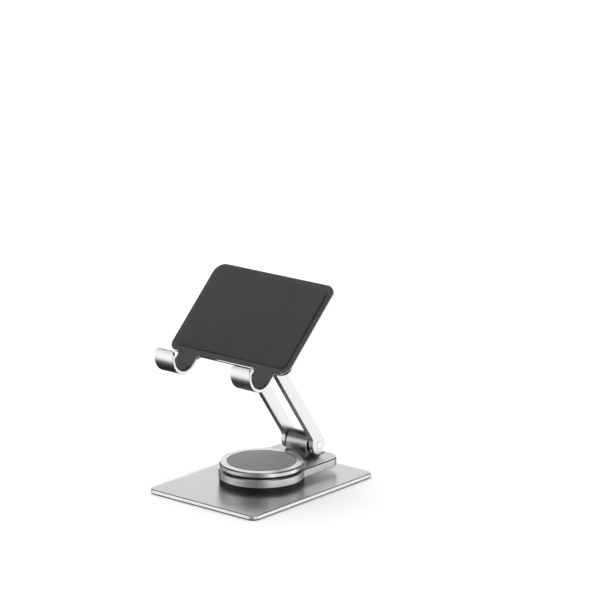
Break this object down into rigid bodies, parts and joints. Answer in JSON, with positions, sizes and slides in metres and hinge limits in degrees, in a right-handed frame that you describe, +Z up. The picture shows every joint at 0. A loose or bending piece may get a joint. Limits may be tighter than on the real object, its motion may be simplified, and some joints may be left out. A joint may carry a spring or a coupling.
{
  "type": "tablet stand",
  "caption": "Folding aluminium tablet stand with a flat base plate, a turntable, a leaning pair of arms and a tilting cradle with hooks.",
  "frame": {"origin": "on the table, under the turntable's axis and in the middle of the base plate", "axes": "+Z up, +Y from the hooks towards the hinge at the back, +X to the right seen from the front, along both hinge axes"},
  "size_m": [0.1, 0.12, 0.1378],
  "materials": {
    "satin_aluminium": "fine satin anodised, bright machined edges",
    "turned_aluminium": "anodised, turned around its axis",
    "black_acetal": "black low-friction plastic",
    "grey_silicone": "matt grey silicone",
    "dark_silicone": "matt dark grey silicone",
    "steel": "plain stainless steel"
  },
  "bodies": {
    "base": {"base_plate": "satin_aluminium", "base_sheet": "dark_silicone", "bearing_ring": "black_acetal", "ring_screws": "steel", "hub": "steel", "hub_screws": "steel", "slip_ring": "black_acetal", "disc_spring": "steel", "cap": "turned_aluminium", "cap_screws": "steel", "cap_pad": "grey_silicone"},
    "table": {"turntable": "turned_aluminium", "hub_bush": "black_acetal", "knee_bushes": "black_acetal", "knee_clip": "steel"},
    "arms": {"arm_left": "satin_aluminium", "arm_right": "satin_aluminium", "knee_axle": "steel", "head_axle": "steel"},
    "rest": {"head_block": "satin_aluminium", "head_bushes": "black_acetal", "head_clip": "steel", "block_screws": "steel", "cradle": "satin_aluminium", "rest_pad": "dark_silicone", "hook_liner_left": "dark_silicone", "hook_liner_right": "dark_silicone"}
  },
  "joints": [
    {"name": "turntable_spin", "type": "hinge", "parent": "base", "child": "table", "pos_m": [0, 0, 0.01], "axis": [0, 0, 1], "continuous": true},
    {"name": "lower_hinge", "type": "hinge", "parent": "table", "child": "arms", "pos_m": [0, 0.0418, 0.0199], "axis": [1, 0, 0], "range_deg": [-40, 34]},
    {"name": "upper_hinge", "type": "hinge", "parent": "arms", "child": "rest", "pos_m": [0, -0.01265, 0.09652], "axis": [1, 0, 0], "range_deg": [-98, 36]}
  ]
}
